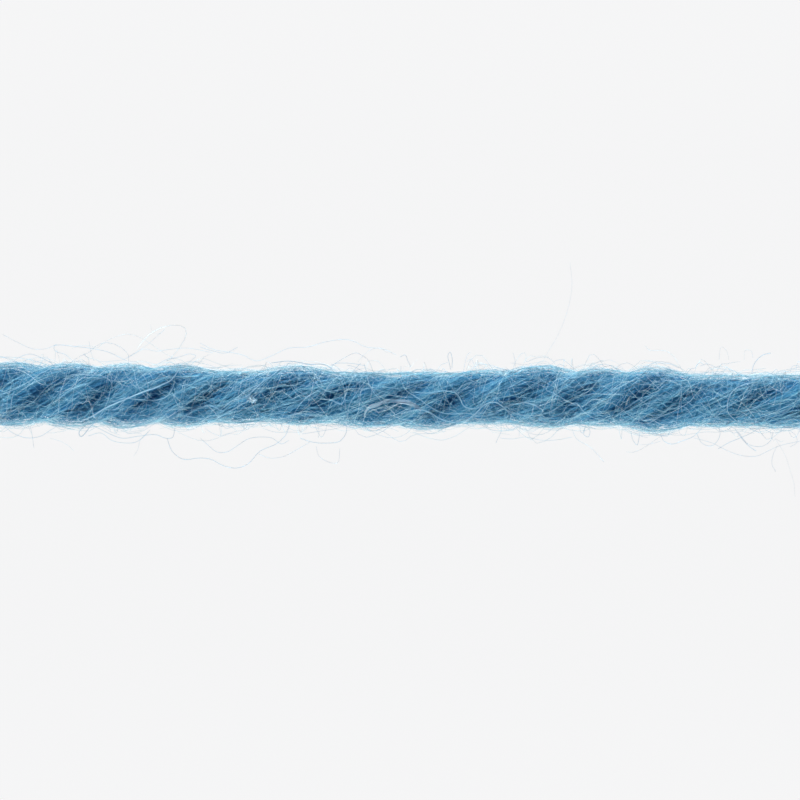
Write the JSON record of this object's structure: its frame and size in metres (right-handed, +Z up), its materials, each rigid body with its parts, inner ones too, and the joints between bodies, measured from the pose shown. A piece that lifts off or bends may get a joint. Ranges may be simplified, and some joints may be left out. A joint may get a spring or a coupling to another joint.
{
  "type": "knitting yarn",
  "caption": "Straight cut length of plied wool knitting yarn, left-handed ply twist, uneven crowns, rests on its flattened underside.",
  "frame": {"origin": "middle of the yarn's length and width, on the surface that it lies on", "axes": "+X along the yarn, +Y across it to the far side, +Z up from the surface"},
  "size_m": [0.044, 0.0032, 0.0027],
  "materials": {
    "wool": "soft matt dyed wool with a pale halo of loose fibres"
  },
  "bodies": {
    "root": {"yarn": "wool"}
  },
  "joints": []
}
